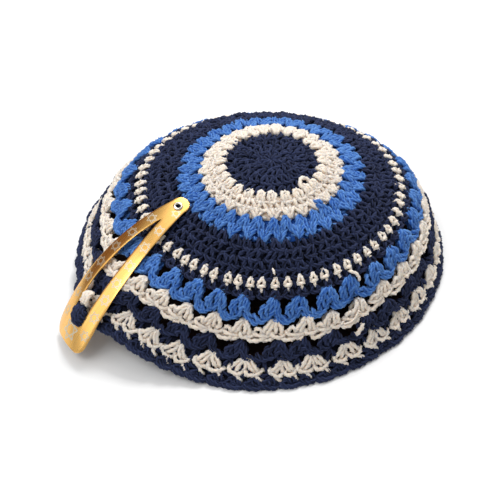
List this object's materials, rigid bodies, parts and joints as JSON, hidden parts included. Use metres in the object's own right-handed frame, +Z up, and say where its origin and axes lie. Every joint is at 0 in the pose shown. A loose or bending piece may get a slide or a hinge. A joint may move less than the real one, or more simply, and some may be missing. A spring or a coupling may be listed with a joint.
{
  "type": "kippah skullcap with snap clip",
  "caption": "Crocheted domed skullcap in navy, blue and cream bands with open cluster rounds, gripped at its edge by a gold snap clip.",
  "frame": {"origin": "middle of the underside of the whole thing's box, on the surface that the cap lies on", "axes": "+Z up through the crown, -Y towards the side that the picture shows, the clip on the left of the front at -X -Y"},
  "size_m": [0.1384, 0.135, 0.0444],
  "materials": {
    "navy_cotton": "matt crocheted cotton yarn",
    "cream_cotton": "matt crocheted cotton yarn",
    "blue_cotton": "matt crocheted cotton yarn",
    "gold_sheet": "gold-plated spring sheet with printed silver hexagram outlines",
    "brass_eyelet": "bright rolled eyelet"
  },
  "bodies": {
    "cap": {"centre_rounds": "navy_cotton", "cream_rounds": "cream_cotton", "blue_rounds": "blue_cotton", "navy_band": "navy_cotton", "dotted_round": "navy_cotton", "navy_round": "navy_cotton", "blue_clusters": "blue_cotton", "cream_clusters": "cream_cotton", "navy_clusters": "navy_cotton", "outer_cream_round": "cream_cotton", "rim_rounds": "navy_cotton", "clip_frame": "gold_sheet", "clip_eyelet": "brass_eyelet"},
    "tongue": {"clip_tongue": "gold_sheet"}
  },
  "joints": [
    {"name": "clip_snap", "type": "hinge", "parent": "cap", "child": "tongue", "pos_m": [-0.06266, -0.04465, 0.01073], "axis": [-0.5229, 0.8438, -0.1207], "range_deg": [0, 25]}
  ]
}
